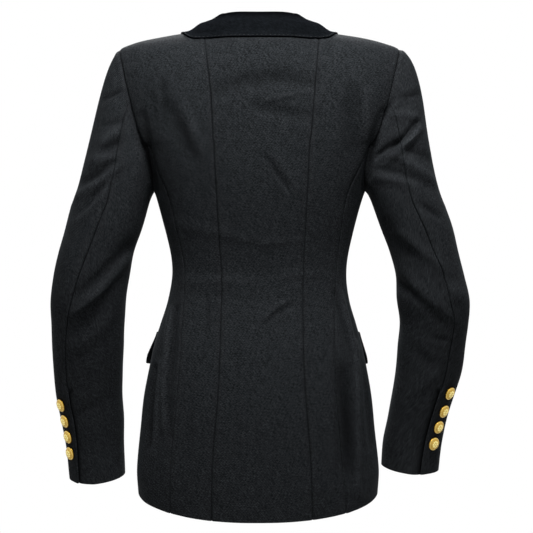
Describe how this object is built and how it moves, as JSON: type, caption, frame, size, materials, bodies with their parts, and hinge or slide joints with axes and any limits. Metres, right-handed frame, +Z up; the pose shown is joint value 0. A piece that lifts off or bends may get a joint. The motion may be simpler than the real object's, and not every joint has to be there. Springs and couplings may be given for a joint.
{
  "type": "double-breasted jacket",
  "caption": "Woman's fitted double-breasted wool jacket in worn form: princess back seams, peaked lapels, flap pockets, bent two-piece sleeves with domed gilt buttons at the cuffs.",
  "frame": {"origin": "between the two shoulders at the height of the side of the neck, where the jacket rests on its wearer", "axes": "+Z up, -Y towards the jacket's front, +X towards the wearer's left"},
  "size_m": [0.5944, 0.2415, 0.6958],
  "materials": {
    "wool_twill": "charcoal wool twill, matt, lightly heathered",
    "collar_cloth": "the same wool twill, pressed and darker",
    "gilt_brass": "gilt, bright on the dome and duller in the relief"
  },
  "bodies": {
    "root": {"back_centre": "wool_twill", "back_side_L": "wool_twill", "back_side_R": "wool_twill", "side_L": "wool_twill", "side_R": "wool_twill", "front_L": "wool_twill", "front_R": "wool_twill", "lapel_L": "collar_cloth", "lapel_R": "collar_cloth", "collar": "collar_cloth", "sleeve_upper_L": "wool_twill", "sleeve_upper_R": "wool_twill", "sleeve_under_L": "wool_twill", "sleeve_under_R": "wool_twill", "pocket_flap_L": "wool_twill", "pocket_flap_R": "wool_twill", "cuff_button_L1": "gilt_brass", "cuff_button_L2": "gilt_brass", "cuff_button_L3": "gilt_brass", "cuff_button_L4": "gilt_brass", "cuff_button_R1": "gilt_brass", "cuff_button_R2": "gilt_brass", "cuff_button_R3": "gilt_brass", "cuff_button_R4": "gilt_brass", "front_button_1": "gilt_brass", "front_button_2": "gilt_brass", "front_button_3": "gilt_brass", "front_button_4": "gilt_brass", "front_button_5": "gilt_brass", "front_button_6": "gilt_brass"}
  },
  "joints": []
}
